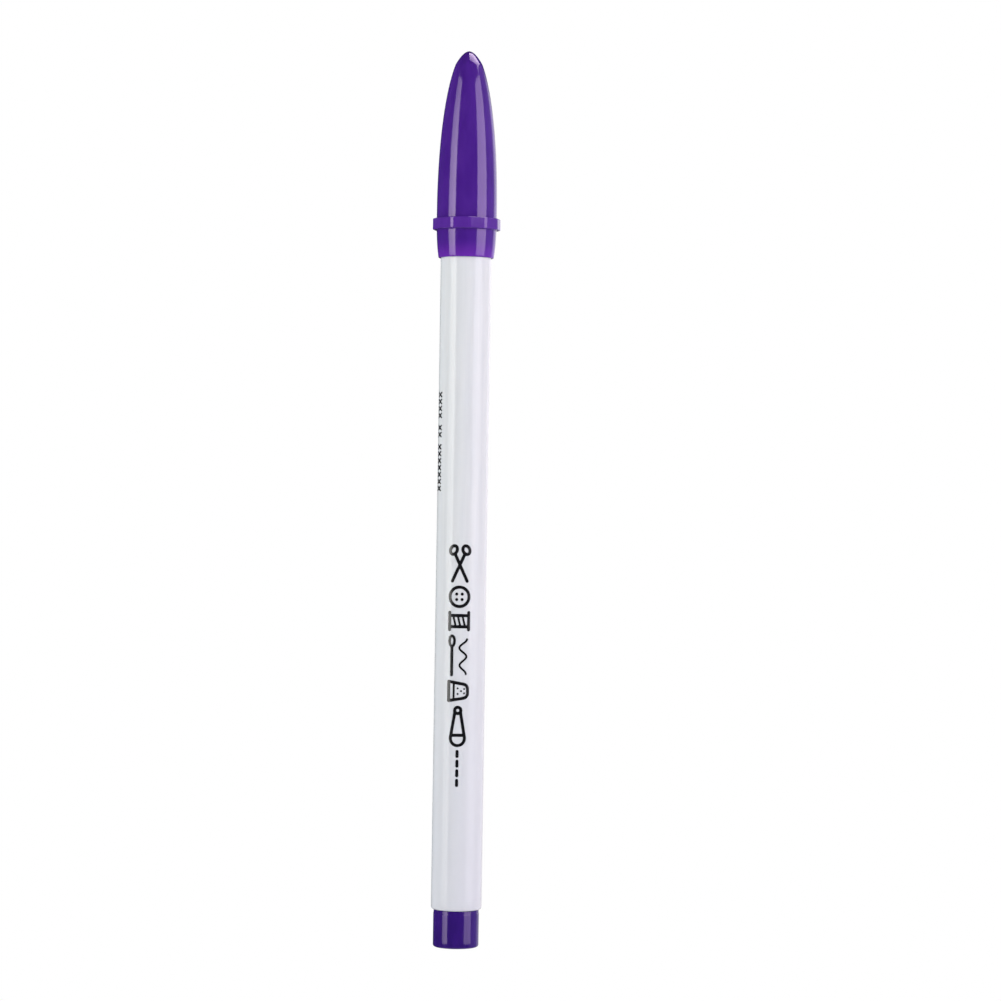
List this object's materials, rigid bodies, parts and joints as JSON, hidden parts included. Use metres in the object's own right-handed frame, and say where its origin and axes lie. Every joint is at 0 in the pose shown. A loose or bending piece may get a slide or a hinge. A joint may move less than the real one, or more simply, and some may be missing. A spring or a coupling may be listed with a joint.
{
  "type": "fabric marking pen",
  "caption": "Capped fabric marking pen: straight white barrel, fibre ink reservoir and nib, violet rear plug and bullet-shaped push-on cap with a twelve-sided collar.",
  "frame": {"origin": "centre of the rear plug's flat end face, which the pen stands on", "axes": "+Z along the pen from the rear plug towards the cap's tip; -Y is the side with the printed marks"},
  "size_m": [0.011, 0.011, 0.145],
  "materials": {
    "barrel_white": "gloss",
    "cap_violet": "gloss",
    "plug_violet": "gloss",
    "holder_violet": "satin",
    "liner_natural": "satin",
    "natural_plastic": "satin",
    "clear_film": "gloss",
    "inked_fibre": "matte",
    "nib_fibre": "matte",
    "print_black": "satin"
  },
  "bodies": {
    "pen": {"barrel": "barrel_white", "end_plug": "plug_violet", "nib_holder": "holder_violet", "nib": "nib_fibre", "reservoir_fibre": "inked_fibre", "reservoir_film": "clear_film", "breather_tube": "natural_plastic"},
    "cap": {"cap_shell": "cap_violet", "inner_cap": "liner_natural"}
  },
  "joints": [
    {"name": "cap_pull", "type": "slide", "parent": "pen", "child": "cap", "axis": [0, 0, 1], "range_m": [0, 0.03]}
  ]
}
